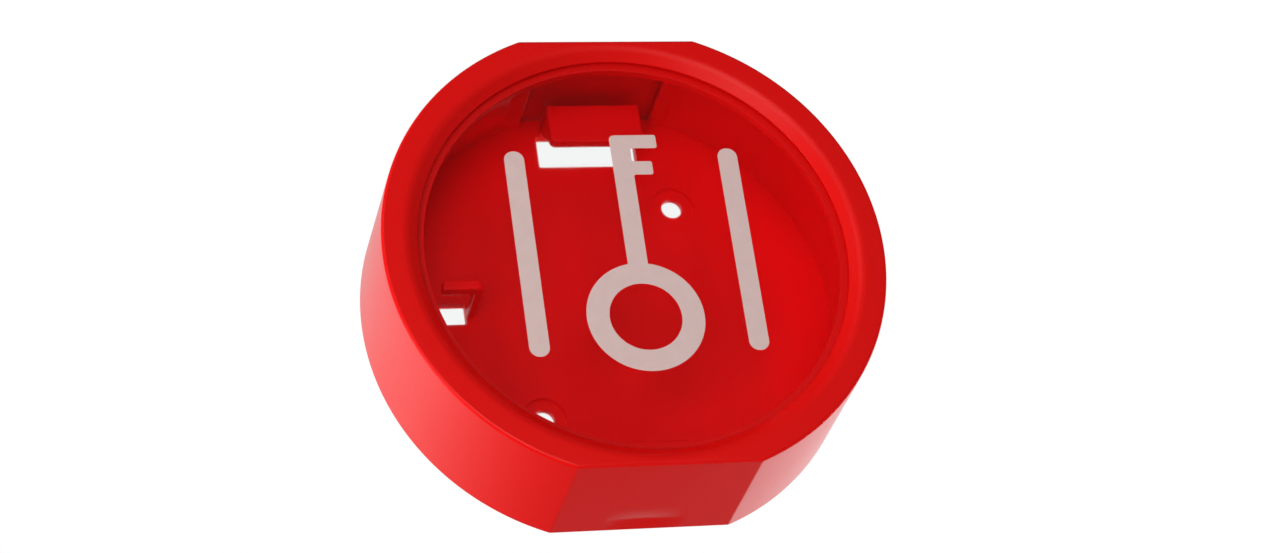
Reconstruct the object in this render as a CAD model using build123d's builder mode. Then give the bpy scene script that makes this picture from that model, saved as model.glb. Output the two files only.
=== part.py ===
"""Round wall-mounted key box with a breakable window, in millimetres.

The box hangs on a wall. +Y points into the wall, -Y to the person in front of it, +Z up and +X
to the right. The origin is the centre of the back face, so every depth is given as a height
above the wall, h = -Y. Four pieces make it up: the cover with its dished lip, the window pane,
the ring that clips the pane into the cover, and the back tray with the key hook.
"""

import os

from build123d import *

# ---- driving dimensions of the whole box -------------------------------------------------------
DEPTH = 36.0  # wall to the front face
BACK_RADIUS = 60.4  # round outside of the cover, at the wall
FLAT_DEPTH = 4.0  # how far each flat is set into the round outside
DRAFT = 0.6  # degrees, the cover narrows towards the front
CORNER_RADIUS = 1.5  # where a flat meets the round side
WALL = 2.5  # cover wall and tray floor
WALL_GAP = 0.3  # the cover's rim stays this far off the wall
ROOT = 0.6  # how far the foot of a rib or post runs into the wall it stands on
OVERCUT = 1.0  # how far a cut runs past the face it opens

# ---- clearances --------------------------------------------------------------------------------
SLIDE_GAP = 0.4  # between the cover and the tray, all round
SNAP_GAP = 0.3  # between each catch rib and its latch nose
PANE_GAP = 0.3  # between the pane's edge and its collar
RING_GAP = 0.15  # between the clip ring and its collar

# ---- lip and window ----------------------------------------------------------------------------
LAND_WIDTH = 2.4  # flat front land, where it is narrowest, along each flat
BEVEL_WIDTH = 2.7  # dished bevel from the land to the lip
LIP_DROP = 2.2  # front face down to the lip edge
LIP_EDGE = 0.4  # thickness left at the lip edge
LAND_FILLET = 2.5
FRONT_CHAMFER = 0.5  # outer edge of the front face
PANE_LAP = 1.6  # how far the pane reaches behind the lip
PANE_THICKNESS = 1.5
RING_LAP = 3.3  # how far the clip ring reaches behind the pane
RING_THICKNESS = 2.2
BEAD = 0.35  # height of the clip ring's snap bead
COLLAR_WALL = 1.6

# ---- tray --------------------------------------------------------------------------------------
TRAY_STEP = 0.4  # the wall stands this far inside the edge of the floor
TRAY_WALL = 1.8
NICHE_HALF_WIDTH = 16.5  # the wall is open this far each way at the flats
STOP_RIB_COUNT = 6
STOP_RIB_WIDTH = 1.6
STOP_RIB_START = 30.0  # degrees from +X, clear of the flats

# ---- latches -----------------------------------------------------------------------------------
TAB_WIDTH = 23.2
TAB_REACH = 10.4  # from the outside of the leaf to the free edge of the tab
TAB_HEIGHT = 14.2  # front of the tab, above the wall
TAB_THICKNESS = 3.0
LEAF_THICKNESS = 2.0
LATCH_SPACE = 2.7  # from the outside of the leaf to the edge of the floor
NOSE_WIDTH = 16.0
NOSE_REACH = 1.4
NOSE_HEIGHT = 6.0  # catching face, above the wall
NOSE_RAMP = 4.5
CATCH_PLAY = 0.4  # catching faces when the cover is shut
CATCH_LENGTH = 2.6
CORE_HOLE_PLAY = 0.9  # the hole under the tab is this much longer at each end
CORE_HOLE_GAP = 0.4  # and this much wider than the tab is deep
GUSSET = 1.6
TAB_CORNER = 1.5  # free corners of the tab
TAB_CHAMFER = 0.6  # front edges of the tab
NOSE_HOLE_PLAY = 0.8  # the hole under the nose is this much longer at each end

# ---- thumb dent in each flat -------------------------------------------------------------------
DENT_WIDTH = 19.0
DENT_HEIGHT = 9.6
DENT_DEPTH = 0.4
DENT_RIM = 0.7  # plain wall left between the dent and the cover's rim

# ---- key hook ----------------------------------------------------------------------------------
HOOK_WIDTH = 2.4
HOOK_TIP_GAP = 12.0  # from the tip of the finger to the round wall above it
HOOK_LENGTH = 9.9  # from the underside of the post to the tip
HOOK_POST_THICKNESS = 2.0
HOOK_HEIGHT = 17.5  # front of the finger, above the wall
HOOK_FINGER = 3.0
HOOK_SLOT_WIDTH = 5.6
HOOK_SLOT_GAP = 1.0
HOOK_CORNER = 1.5  # outer corner of the hook

# ---- wall screws -------------------------------------------------------------------------------
SCREW_X = 28.2
SCREW_Z = 19.7
SCREW_HOLE_RADIUS = 2.6
SCREW_SINK_RADIUS = 5.3
SCREW_SINK_DEPTH = 1.0

# ---- worked out from the above -----------------------------------------------------------------
BACK_FLAT = BACK_RADIUS - FLAT_DEPTH  # from the middle of the box to each flat, at the wall
INNER_RADIUS = BACK_RADIUS - WALL
INNER_FLAT = BACK_FLAT - WALL
FLOOR_RADIUS = INNER_RADIUS - SLIDE_GAP
FLOOR_FLAT = INNER_FLAT - SLIDE_GAP
LAND_RADIUS = BACK_FLAT - LAND_WIDTH
LIP_RADIUS = LAND_RADIUS - BEVEL_WIDTH  # clear window opening
SEAT = DEPTH - LIP_DROP - LIP_EDGE  # height of the pane's front face
PANE_RADIUS = LIP_RADIUS + PANE_LAP
PANE_BACK = SEAT - PANE_THICKNESS
COLLAR_INNER = PANE_RADIUS + PANE_GAP
COLLAR_OUTER = COLLAR_INNER + COLLAR_WALL
RING_INNER = PANE_RADIUS - RING_LAP
RING_OUTER = COLLAR_INNER - RING_GAP
RING_BACK = PANE_BACK - RING_THICKNESS
TRAY_OUTER = FLOOR_RADIUS - TRAY_STEP
TRAY_OUTER_FLAT = FLOOR_FLAT - TRAY_STEP
TRAY_INNER = TRAY_OUTER - TRAY_WALL
TRAY_INNER_FLAT = TRAY_OUTER_FLAT - TRAY_WALL
TRAY_TOP = RING_BACK - SLIDE_GAP
LEAF_OUTER = FLOOR_FLAT - LATCH_SPACE
LEAF_INNER = LEAF_OUTER - LEAF_THICKNESS
TAB_INNER = LEAF_OUTER - TAB_REACH
CORE_HOLE_INNER = TAB_INNER - CORE_HOLE_GAP
NOSE_TIP = LEAF_OUTER + NOSE_REACH
CATCH_TOP = NOSE_HEIGHT - CATCH_PLAY
HOOK_TIP = TRAY_INNER - HOOK_TIP_GAP
HOOK_POST = HOOK_TIP - HOOK_LENGTH  # underside of the post
ACROSS = 3 * BACK_RADIUS  # longer than the box is wide

# Sections are drawn with x as the distance from the middle and y as the height above the wall.
RADIAL_SECTION = Plane(origin=(0, 0, 0), x_dir=(1, 0, 0), z_dir=(0, 0, -1))
HOOK_SECTION = Plane(origin=(0, 0, 0), x_dir=(0, -1, 0), z_dir=(-1, 0, 0))


def at_height(height, margin=0.01):
    """Y limits that pick what lies at one height above the wall."""
    return Axis.Y, -height - margin, -height + margin


# ---- front cover -------------------------------------------------------------------------------
with BuildPart() as front_cover:
    # Drafted shell: a circle with two flats, hollow from the wall side.
    with BuildSketch(Plane.XZ.offset(WALL_GAP)) as outline:
        Circle(BACK_RADIUS)
        Rectangle(2 * BACK_FLAT, ACROSS, mode=Mode.INTERSECT)
        fillet(outline.vertices(), CORNER_RADIUS)
    extrude(amount=DEPTH - WALL_GAP, taper=DRAFT)
    chamfer(front_cover.edges().filter_by_position(*at_height(DEPTH)), FRONT_CHAMFER)
    with BuildSketch(Plane.XZ.offset(WALL_GAP)) as hollow:
        Circle(INNER_RADIUS)
        Rectangle(2 * INNER_FLAT, ACROSS, mode=Mode.INTERSECT)
    extrude(amount=DEPTH - WALL - WALL_GAP, taper=DRAFT, mode=Mode.SUBTRACT)

    # Stop ribs between the collar and the side wall: their ends stand on the tray's wall.
    with BuildSketch(Plane.XZ.offset(TRAY_TOP)) as stop_ribs:
        rib_inner = COLLAR_OUTER - ROOT
        rib_outer = INNER_RADIUS + ROOT
        with PolarLocations((rib_inner + rib_outer) / 2, STOP_RIB_COUNT, STOP_RIB_START):
            Rectangle(rib_outer - rib_inner, STOP_RIB_WIDTH)
    extrude(amount=DEPTH - WALL + ROOT - TRAY_TOP)

    # Collar behind the lip, with the pocket for the pane and the ring.
    with BuildSketch(RADIAL_SECTION) as collar:
        with Locations((LIP_RADIUS, RING_BACK)):
            Rectangle(COLLAR_OUTER - LIP_RADIUS, DEPTH - WALL + ROOT - RING_BACK, align=Align.MIN)
    revolve(axis=Axis.Y)
    with BuildSketch(RADIAL_SECTION) as pocket:
        bead_middle = (PANE_BACK + RING_BACK) / 2
        with BuildLine():
            Polyline(
                (0, RING_BACK - OVERCUT),
                (COLLAR_INNER, RING_BACK - OVERCUT),
                (COLLAR_INNER, bead_middle - BEAD),
                (COLLAR_INNER + BEAD, bead_middle),
                (COLLAR_INNER, bead_middle + BEAD),
                (COLLAR_INNER, SEAT),
                (0, SEAT),
                close=True,
            )
        make_face()
    revolve(axis=Axis.Y, mode=Mode.SUBTRACT)

    # Window opening with its dished bevel, rounded into the flat front land.
    with BuildSketch(RADIAL_SECTION) as window:
        bevel_slope = (LAND_RADIUS - LIP_RADIUS) / LIP_DROP
        with BuildLine():
            Polyline(
                (0, SEAT - LIP_EDGE),
                (LIP_RADIUS, SEAT - LIP_EDGE),
                (LIP_RADIUS, SEAT + LIP_EDGE),
                (LAND_RADIUS + OVERCUT * bevel_slope, DEPTH + OVERCUT),
                (0, DEPTH + OVERCUT),
                close=True,
            )
        make_face()
    revolve(axis=Axis.Y, mode=Mode.SUBTRACT)
    front_edges = front_cover.edges().filter_by_position(*at_height(DEPTH))
    fillet(front_edges.filter_by(lambda edge: edge.is_closed), LAND_FILLET)

    # Catch rib inside each flat, which rides over the latch nose.
    with BuildSketch(RADIAL_SECTION) as catch:
        catch_tip = NOSE_TIP + SNAP_GAP
        catch_root = INNER_FLAT + ROOT
        with BuildLine():
            Polyline(
                (catch_root, CATCH_TOP),
                (catch_tip, CATCH_TOP),
                (catch_tip, CATCH_TOP - CATCH_LENGTH / 2),
                (catch_root, CATCH_TOP - CATCH_LENGTH),
                close=True,
            )
        make_face()
    catch_rib = extrude(amount=NOSE_WIDTH / 2, both=True)
    mirror(catch_rib, about=Plane.YZ)

    # Shallow thumb dent near the wall edge of each flat, cut by the outside of a large barrel.
    dent_across = ((DENT_WIDTH / 2) ** 2 + DENT_DEPTH**2) / (2 * DENT_DEPTH)
    dent_along = ((DENT_HEIGHT / 2) ** 2 + DENT_DEPTH**2) / (2 * DENT_DEPTH)
    dent_centre = BACK_FLAT - DENT_DEPTH + dent_across
    dent_middle = WALL_GAP + DENT_RIM + DENT_HEIGHT / 2
    with Locations((dent_centre, -dent_middle, 0), (-dent_centre, -dent_middle, 0)):
        Torus(dent_across - dent_along, dent_along, rotation=(90, 0, 0), mode=Mode.SUBTRACT)

# ---- window pane -------------------------------------------------------------------------------
with BuildPart() as window_pane:
    with BuildSketch(Plane.XZ.offset(PANE_BACK)):
        Circle(PANE_RADIUS)
    extrude(amount=PANE_THICKNESS)

# ---- clip ring ---------------------------------------------------------------------------------
with BuildPart() as pane_clip_ring:
    with BuildSketch(RADIAL_SECTION):
        with BuildLine():
            Polyline(
                (RING_INNER, RING_BACK),
                (RING_OUTER, RING_BACK),
                (RING_OUTER, bead_middle - BEAD),
                (RING_OUTER + BEAD, bead_middle),
                (RING_OUTER, bead_middle + BEAD),
                (RING_OUTER, PANE_BACK),
                (RING_INNER, PANE_BACK),
                close=True,
            )
        make_face()
    revolve(axis=Axis.Y)

# ---- back tray ---------------------------------------------------------------------------------
with BuildPart() as back_tray:
    # Floor that fills the cover's back, and the wall that follows the cover's inside.
    with BuildSketch(Plane.XZ) as floor:
        Circle(FLOOR_RADIUS)
        Rectangle(2 * FLOOR_FLAT, ACROSS, mode=Mode.INTERSECT)
    extrude(amount=WALL)
    with BuildSketch(Plane.XZ.offset(WALL)) as wall_outside:
        Circle(TRAY_OUTER)
        Rectangle(2 * TRAY_OUTER_FLAT, ACROSS, mode=Mode.INTERSECT)
    extrude(amount=TRAY_TOP - WALL)
    with BuildSketch(Plane.XZ.offset(WALL)) as wall_inside:
        Circle(TRAY_INNER)
        Rectangle(2 * TRAY_INNER_FLAT, ACROSS, mode=Mode.INTERSECT)
    extrude(amount=TRAY_TOP - WALL, mode=Mode.SUBTRACT)

    # Niches: the wall is open at the middle of each flat, where the latch bends.
    with BuildSketch(Plane.XZ.offset(WALL)) as niches:
        Rectangle(ACROSS, 2 * NICHE_HALF_WIDTH)
    extrude(amount=DEPTH, mode=Mode.SUBTRACT)

    # Holes through the floor that form the latch and the hook from behind.
    with BuildSketch(Plane.XZ) as core_holes:
        with GridLocations(CORE_HOLE_INNER + LEAF_INNER, 0, 2, 1):
            Rectangle(LEAF_INNER - CORE_HOLE_INNER, TAB_WIDTH + 2 * CORE_HOLE_PLAY)
        with GridLocations(LEAF_OUTER + INNER_FLAT, 0, 2, 1):
            Rectangle(INNER_FLAT - LEAF_OUTER, NOSE_WIDTH + 2 * NOSE_HOLE_PLAY)
        slot_bottom = HOOK_POST + HOOK_POST_THICKNESS
        with Locations((0, slot_bottom)):
            Rectangle(HOOK_SLOT_WIDTH, HOOK_TIP + HOOK_SLOT_GAP - slot_bottom, align=(Align.CENTER, Align.MIN))
    extrude(amount=WALL, mode=Mode.SUBTRACT)

    # Latch leaf with its nose, the tab on top of it and a gusset at each end.
    with BuildSketch(RADIAL_SECTION) as leaf:
        with Locations((LEAF_INNER, 0)):
            Rectangle(LEAF_THICKNESS, TAB_HEIGHT, align=Align.MIN)
    latch_leaf = extrude(amount=TAB_WIDTH / 2, both=True)
    with BuildSketch(RADIAL_SECTION) as nose:
        with BuildLine():
            Polyline(
                (LEAF_INNER, NOSE_HEIGHT),
                (NOSE_TIP, NOSE_HEIGHT),
                (LEAF_OUTER, NOSE_HEIGHT + NOSE_RAMP),
                (LEAF_INNER, NOSE_HEIGHT + NOSE_RAMP),
                close=True,
            )
        make_face()
    latch_nose = extrude(amount=NOSE_WIDTH / 2, both=True)
    with BuildSketch(Plane.XZ.offset(TAB_HEIGHT - TAB_THICKNESS)) as tab:
        with Locations((TAB_INNER, 0)):
            Rectangle(LEAF_OUTER - TAB_INNER, TAB_WIDTH, align=(Align.MIN, Align.CENTER))
        fillet(tab.vertices().group_by(Axis.X)[0], TAB_CORNER)
    latch_tab = extrude(amount=TAB_THICKNESS)
    with BuildSketch(RADIAL_SECTION.offset(-TAB_WIDTH / 2)) as gusset:
        with BuildLine():
            Polyline(
                (LEAF_INNER, TAB_HEIGHT - TAB_THICKNESS),
                (TAB_INNER + TAB_CORNER, TAB_HEIGHT - TAB_THICKNESS),
                (LEAF_INNER, WALL + GUSSET),
                close=True,
            )
        make_face()
    upper_gusset = extrude(amount=GUSSET)
    lower_gusset = mirror(upper_gusset, about=Plane.XY)
    for feature in (latch_leaf, latch_nose, latch_tab, upper_gusset, lower_gusset):
        mirror(feature, about=Plane.YZ)
    chamfer(back_tray.edges().filter_by_position(*at_height(TAB_HEIGHT)), TAB_CHAMFER)

    # Key hook: a post out of the floor and a finger that points up.
    with BuildSketch(HOOK_SECTION) as hook:
        with BuildLine():
            Polyline(
                (WALL - ROOT, HOOK_POST),
                (HOOK_HEIGHT, HOOK_POST),
                (HOOK_HEIGHT, HOOK_TIP),
                (HOOK_HEIGHT - HOOK_FINGER, HOOK_TIP),
                (HOOK_HEIGHT - HOOK_FINGER, HOOK_POST + HOOK_POST_THICKNESS),
                (WALL - ROOT, HOOK_POST + HOOK_POST_THICKNESS),
                close=True,
            )
        make_face()
        fillet(hook.vertices().sort_by_distance((HOOK_HEIGHT, HOOK_POST))[0], HOOK_CORNER)
    extrude(amount=HOOK_WIDTH / 2, both=True)

    # Wall screw holes on one diagonal, with a flat recess for each head.
    with Locations(Plane.XZ.offset(WALL)):
        with Locations((-SCREW_X, SCREW_Z), (SCREW_X, -SCREW_Z)):
            CounterBoreHole(SCREW_HOLE_RADIUS, SCREW_SINK_RADIUS, SCREW_SINK_DEPTH, WALL)

os.makedirs("parts", exist_ok=True)
front_cover.part.label = "front_cover"
window_pane.part.label = "window_pane"
pane_clip_ring.part.label = "pane_clip_ring"
back_tray.part.label = "back_tray"
export_step(front_cover.part, "parts/front_cover.step")
export_step(window_pane.part, "parts/window_pane.step")
export_step(pane_clip_ring.part, "parts/pane_clip_ring.step")
export_step(back_tray.part, "parts/back_tray.step")
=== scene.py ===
"""Looks of the wall-mounted break glass key box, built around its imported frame.

The box hangs on a wall: +Y points into the wall, -Y to the person in front of it, +Z up and +X
to the right. Sizes are written in millimetres. A height is a distance from the wall, so what
stands at height h has Y = -h, and every mesh is turned into metres once, where it is made.
"""

import logging
from dataclasses import dataclass
from enum import Enum

import bmesh
import bpy
import numpy as np
from mathutils import Matrix, Vector


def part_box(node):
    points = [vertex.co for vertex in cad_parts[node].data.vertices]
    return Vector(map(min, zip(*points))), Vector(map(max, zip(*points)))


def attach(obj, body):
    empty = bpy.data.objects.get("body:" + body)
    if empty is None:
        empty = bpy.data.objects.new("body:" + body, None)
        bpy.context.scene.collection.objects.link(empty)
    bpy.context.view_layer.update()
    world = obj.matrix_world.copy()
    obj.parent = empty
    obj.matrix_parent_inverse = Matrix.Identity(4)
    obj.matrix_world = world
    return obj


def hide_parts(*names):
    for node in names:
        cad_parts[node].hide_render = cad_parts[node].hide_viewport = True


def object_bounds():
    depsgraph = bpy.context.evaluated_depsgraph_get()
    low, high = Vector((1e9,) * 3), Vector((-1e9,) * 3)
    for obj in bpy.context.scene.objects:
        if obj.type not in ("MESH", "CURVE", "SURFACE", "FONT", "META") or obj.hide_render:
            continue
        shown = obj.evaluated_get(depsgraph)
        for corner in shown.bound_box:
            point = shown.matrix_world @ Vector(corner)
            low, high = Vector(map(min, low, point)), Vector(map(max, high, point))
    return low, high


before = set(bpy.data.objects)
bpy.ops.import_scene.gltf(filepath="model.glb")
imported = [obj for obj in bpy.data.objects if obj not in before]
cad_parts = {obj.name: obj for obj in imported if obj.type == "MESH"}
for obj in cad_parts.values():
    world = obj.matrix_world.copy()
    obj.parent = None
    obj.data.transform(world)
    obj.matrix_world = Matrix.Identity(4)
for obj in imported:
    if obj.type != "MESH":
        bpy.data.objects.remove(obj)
cad_low, cad_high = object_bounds()

MM = 0.001
WELD = 0.002  # points closer together than this are made one
TINY = 1e-6  # keeps a division and a root clear of nothing
NO_FLAT = 1000.0  # flat distance of a section point that is simply round
SHARP = 35.0  # degrees: an edge that turns more than this is shaded sharp and may be bevelled
PAST = 1.0  # how far a cutting tool reaches past what it cuts
SIDES = ((1, "right"), (-1, "left"))
HALVES = ((1, "upper"), (-1, "lower"))
log = logging.getLogger("key_box")


class Body(Enum):
    """The two bodies of the frame that pieces ride on."""

    TRAY = "tray"
    COVER = "cover"


class Blend(Enum):
    """What a mixing node mixes."""

    NUMBERS = "FLOAT"
    COLOURS = "RGBA"


class Slot(Enum):
    """Material slots of the record."""

    COVER = "cover_plastic"
    TRAY = "tray_plastic"
    RING = "ring_plastic"
    PANE = "pane_glass"


# ---- meshes worked out as arrays -----------------------------------------------------------------


def placed(radial: np.ndarray, height: np.ndarray, across: np.ndarray) -> np.ndarray:
    """Stack X, height and Z arrays into points.

    Args:
        radial: X of each point.
        height: Height above the wall of each point, so that Y is its negative.
        across: Z of each point.

    Returns:
        Array of shape (..., 3) in millimetres.
    """
    return np.stack(np.broadcast_arrays(radial, -height, across), axis=-1)


def grid_quads(rows: int, columns: int, close_rows: bool, close_columns: bool) -> np.ndarray:
    """Index the quads of a grid whose point (i, j) is vertex i * columns + j.

    Args:
        rows: Number of points along the first parameter.
        columns: Number of points along the second parameter.
        close_rows: Whether the last row joins the first.
        close_columns: Whether the last column joins the first.

    Returns:
        Array of shape (faces, 4) with vertex indices.
    """
    i = np.arange(rows if close_rows else rows - 1)[:, None]
    j = np.arange(columns if close_columns else columns - 1)[None, :]
    i_next, j_next = (i + 1) % rows, (j + 1) % columns
    quads = [i * columns + j, i_next * columns + j, i_next * columns + j_next, i * columns + j_next]
    return np.stack([np.broadcast_to(q, (i.size, j.size)) for q in quads], axis=-1).reshape(-1, 4)


def new_object(name: str, data: bpy.types.ID) -> bpy.types.Object:
    """Make an object from its data and link it to the scene."""
    made = bpy.data.objects.new(name, data)
    bpy.context.scene.collection.objects.link(made)
    return made


def new_piece(name: str, points: np.ndarray, faces: list, sharp_degrees: float = SHARP) -> bpy.types.Object:
    """Make an object from points in millimetres, with outward normals and sharp creases marked.

    Args:
        name: Name of the piece.
        points: Array of shape (n, 3).
        faces: Faces as sequences of vertex indices.
        sharp_degrees: Edges that turn more than this are shaded sharp.

    Returns:
        The new object at the origin, linked to the scene.
    """
    mesh = bpy.data.meshes.new(name)
    mesh.from_pydata((points.reshape(-1, 3) * MM).tolist(), [], faces)
    piece = new_object(name, mesh)
    tidy_mesh(mesh, sharp_degrees)
    return piece


def tidy_mesh(mesh: bpy.types.Mesh, sharp_degrees: float) -> None:
    """Merge coincident points, turn every face outwards and mark sharp edges.

    Args:
        mesh: Mesh to tidy in place.
        sharp_degrees: Edges that turn more than this are shaded sharp.
    """
    work = bmesh.new()
    work.from_mesh(mesh)
    bmesh.ops.remove_doubles(work, verts=work.verts, dist=WELD * MM)
    bmesh.ops.recalc_face_normals(work, faces=work.faces)
    work.to_mesh(mesh)
    work.free()
    mesh.validate()
    mesh.shade_smooth()
    mesh.set_sharp_from_angle(angle=np.radians(sharp_degrees))


def weighted(piece: bpy.types.Object) -> bpy.types.Object:
    """Weight the normals by face area, so that flats stay flat beside small roundings."""
    modifier = piece.modifiers.new("weighted_normals", "WEIGHTED_NORMAL")
    modifier.keep_sharp = True
    return piece


def bevelled(piece: bpy.types.Object, width: float, segments: int = 3) -> bpy.types.Object:
    """Round the sharp edges of a piece.

    Args:
        piece: Piece to round.
        width: Width of the rounding in millimetres.
        segments: Faces across each rounding.

    Returns:
        The same piece.
    """
    modifier = piece.modifiers.new("edges", "BEVEL")
    modifier.width = width * MM
    modifier.segments = segments
    modifier.limit_method = "ANGLE"
    modifier.angle_limit = np.radians(SHARP)
    return weighted(piece)


def arc(centre: tuple | np.ndarray, radius: float, start: float, end: float, count: int) -> np.ndarray:
    """Points of a circular arc in a plane: centre plus radius times (cos a, sin a).

    Args:
        centre: Centre of the arc.
        radius: Radius of the arc.
        start: First angle in degrees.
        end: Last angle in degrees.
        count: Number of points, both ends included.

    Returns:
        Array of shape (count, 2).
    """
    angles = np.radians(np.linspace(start, end, count))
    return np.array(centre) + radius * np.stack([np.cos(angles), np.sin(angles)], axis=-1)


def whole_circle(centre: tuple | np.ndarray, radius: float, count: int) -> np.ndarray:
    """Points of a whole circle in a plane, as an arc that stops one step short of its start."""
    return arc(centre, radius, 0, 360 - 360 / count, count)


def rounded_polygon(corners: list, radii: list | tuple, steps: int = 6) -> np.ndarray:
    """Outline of a polygon whose corners are arcs.

    Each corner gets the circle of its radius that touches both of its sides: the circle's centre
    lies on the corner's bisector, and the arc runs between the two touching points.

    Args:
        corners: Corner points in order.
        radii: Radius at each corner, 0 for a sharp one.
        steps: Points on each arc.

    Returns:
        Array of shape (n, 2).
    """
    points = np.array(corners, float)
    outline = []
    for index, radius in enumerate(radii):
        here, before, after = points[index], points[index - 1], points[(index + 1) % len(points)]
        if radius == 0:
            outline.append(here[None])
            continue
        to_before = (before - here) / np.linalg.norm(before - here)
        to_after = (after - here) / np.linalg.norm(after - here)
        half = np.arccos(np.clip(to_before @ to_after, -1, 1)) / 2
        bisector = (to_before + to_after) / np.linalg.norm(to_before + to_after)
        centre = here + bisector * radius / np.sin(half)
        first = here + to_before * radius / np.tan(half) - centre
        last = here + to_after * radius / np.tan(half) - centre
        share = np.linspace(0, 1, steps)[:, None]
        spread = np.arccos(np.clip(first @ last / radius**2, -1, 1))
        swing = np.sin((1 - share) * spread) * first + np.sin(share * spread) * last
        outline.append(centre + swing / np.sin(spread))
    return np.concatenate(outline)


def prism(name: str, outline: np.ndarray, low: float, high: float, axes: str = "xz") -> bpy.types.Object:
    """Carry an outline straight along the third axis and close both ends.

    Args:
        name: Name of the piece.
        outline: Array of shape (n, 2) in millimetres.
        low: First position along the third axis.
        high: Last position along the third axis.
        axes: What the outline's two columns are: x, z or h, which is height above the wall.

    Returns:
        The new piece.
    """
    count = len(outline)
    spans = {axes[0]: np.tile(outline[:, 0], 2), axes[1]: np.tile(outline[:, 1], 2)}
    spans["xzh".replace(axes[0], "").replace(axes[1], "")] = np.repeat([low, high], count)
    sides = grid_quads(2, count, False, True).tolist()
    ends = [list(range(count)), list(range(count, 2 * count))]
    return new_piece(name, placed(spans["x"], spans["h"], spans["z"]), sides + ends)


def lathe(
    name: str, section: np.ndarray, turns: int, sharp_degrees: float = SHARP, middle: float = 0.0
) -> bpy.types.Object:
    """Turn a closed section about an axis that stands on the wall at X = m.

    Point (i, j) is at angle a_i round the axis: X = m + r_j cos a_i, Z = r_j sin a_i, height h_j.

    Args:
        name: Name of the piece.
        section: Array of shape (n, 2): distance from the axis and height.
        turns: Number of steps round the axis.
        sharp_degrees: Edges that turn more than this are shaded sharp.
        middle: X of the axis.

    Returns:
        The new piece.
    """
    angle = np.linspace(0, 2 * np.pi, turns, endpoint=False)[:, None]
    radius, height = section[None, :, 0], section[None, :, 1]
    points = placed(middle + radius * np.cos(angle), height + 0 * angle, radius * np.sin(angle))
    return new_piece(name, points, grid_quads(turns, len(section), True, True).tolist(), sharp_degrees)


def outline_radius(angle: np.ndarray, circle: np.ndarray, flat: np.ndarray, corner: float) -> np.ndarray:
    """Distance from the middle to a circle that is cut by a flat on each side.

    Along a ray at angle a the flat is at F / |cos a| and the circle at R, and the nearer one
    counts. Where they meet, a small circle of the corner's radius touches both, and between its
    two touching points the ray's distance is the far root of |t u - c| = corner.

    Args:
        angle: Angles from +X, in radians.
        circle: Radius of the round part.
        flat: Distance from the middle to each flat.
        corner: Radius of the rounding between flat and circle, 0 for a sharp corner.

    Returns:
        The distances, broadcast from the arguments.
    """
    cosine, sine = np.abs(np.cos(angle)), np.abs(np.sin(angle))
    flat_far = flat / np.maximum(cosine, TINY)
    plain = np.minimum(circle, flat_far)
    if corner == 0:
        return plain
    reach = np.minimum(flat, circle - TINY) - corner
    centre_z = np.sqrt(np.maximum((circle - corner) ** 2 - reach**2, 0))
    along = reach * cosine + centre_z * sine
    inside = along**2 - (reach**2 + centre_z**2) + corner**2
    rounded = along + np.sqrt(np.maximum(inside, 0))
    folded = np.arctan2(sine, cosine)
    in_corner = (folded > np.arctan2(centre_z, flat)) & (folded < np.arctan2(centre_z, reach))
    return np.where(in_corner & (flat < circle), rounded, plain)


def turn_angles(base_step: float, dense: list) -> np.ndarray:
    """Angles round the box, closer together where the outline needs it.

    Args:
        base_step: Step in degrees elsewhere.
        dense: Spans (first, last, step) in degrees from +X, repeated in all four quadrants.

    Returns:
        Sorted angles in radians.
    """
    parts = [np.arange(0, 360, base_step)]
    for first, last, step in dense:
        span = np.arange(first, last + step / 2, step)
        parts += [span, -span, 180 - span, 180 + span]
    degrees = np.unique(np.round(np.concatenate(parts) % 360, 4))
    return np.radians(degrees)


# ---- finishes ------------------------------------------------------------------------------------


def new_material(name: str) -> tuple:
    """Start a material with nodes.

    Args:
        name: Name of the material.

    Returns:
        The material, its node tree and its Principled shader.
    """
    material = bpy.data.materials.new(name)
    material.use_nodes = True
    return material, material.node_tree, material.node_tree.nodes["Principled BSDF"]


def node_group(name: str, inputs: dict, outputs: dict) -> tuple:
    """Start a shader node group with named sockets.

    Args:
        name: Name of the group.
        inputs: Socket name to default value; a number makes a float socket, a tuple a colour.
        outputs: Socket name to socket type.

    Returns:
        The group, its input node and its output node.
    """
    group = bpy.data.node_groups.new(name, "ShaderNodeTree")
    for socket_name, value in inputs.items():
        kind = "NodeSocketColor" if isinstance(value, tuple) else "NodeSocketFloat"
        socket = group.interface.new_socket(socket_name, in_out="INPUT", socket_type=kind)
        socket.default_value = value
    for socket_name, kind in outputs.items():
        group.interface.new_socket(socket_name, in_out="OUTPUT", socket_type=kind)
    return group, group.nodes.new("NodeGroupInput"), group.nodes.new("NodeGroupOutput")


def add_node(
    tree: bpy.types.NodeTree, kind: str, inputs: dict | None = None,
    **settings: str | bool | bpy.types.NodeTree,
) -> bpy.types.Node:
    """Add a node, set its properties and fill or link its inputs.

    Args:
        tree: Tree that gets the node.
        kind: Blender's type name of the node.
        inputs: Socket name or index to a value or to an output socket to link.
        **settings: Properties of the node.

    Returns:
        The new node.
    """
    node = tree.nodes.new(kind)
    for key, value in settings.items():
        setattr(node, key, value)
    for key, value in (inputs or {}).items():
        if isinstance(value, bpy.types.NodeSocket):
            tree.links.new(value, node.inputs[key])
        else:
            node.inputs[key].default_value = value
    return node


def maths(
    tree: bpy.types.NodeTree, operation: str, *values: float | bpy.types.NodeSocket, **settings: bool
) -> bpy.types.NodeSocket:
    """Work on numbers or output sockets with a maths node.

    Args:
        tree: Tree that gets the node.
        operation: Blender's name of the operation.
        *values: A number or an output socket for each of the node's inputs.
        **settings: Other properties of the node.

    Returns:
        The node's output.
    """
    inputs = dict(enumerate(values))
    return add_node(tree, "ShaderNodeMath", inputs, operation=operation, **settings).outputs[0]


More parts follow.
